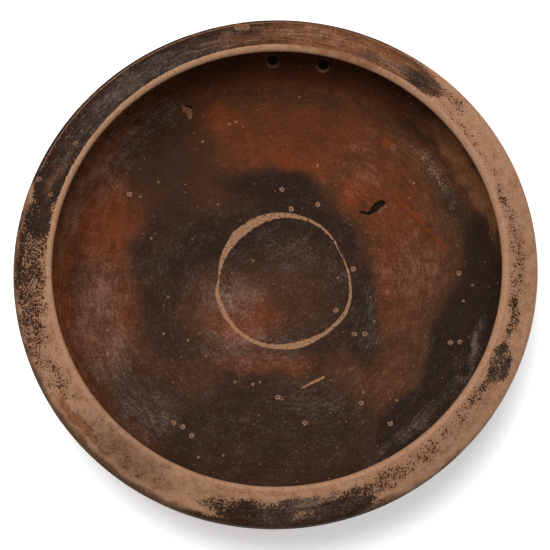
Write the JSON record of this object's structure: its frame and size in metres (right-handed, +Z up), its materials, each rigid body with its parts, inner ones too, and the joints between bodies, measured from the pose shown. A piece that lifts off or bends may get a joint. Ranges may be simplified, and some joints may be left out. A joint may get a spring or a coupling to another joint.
{
  "type": "pottery dish",
  "caption": "Broad shallow wheel-thrown pottery dish with an incurved rim, a low ring foot and suspension holes below the lip.",
  "frame": {"origin": "centre of the foot's resting ring, on the surface that the dish stands on", "axes": "+Z up, out of the mouth; +Y towards the side of the wall with the suspension holes"},
  "size_m": [0.23, 0.23, 0.0547],
  "materials": {
    "slipped_clay": "thin mottled slip, worn to bare clay on the rim, matt to slightly glossy"
  },
  "bodies": {
    "root": {"dish": "slipped_clay"}
  },
  "joints": []
}
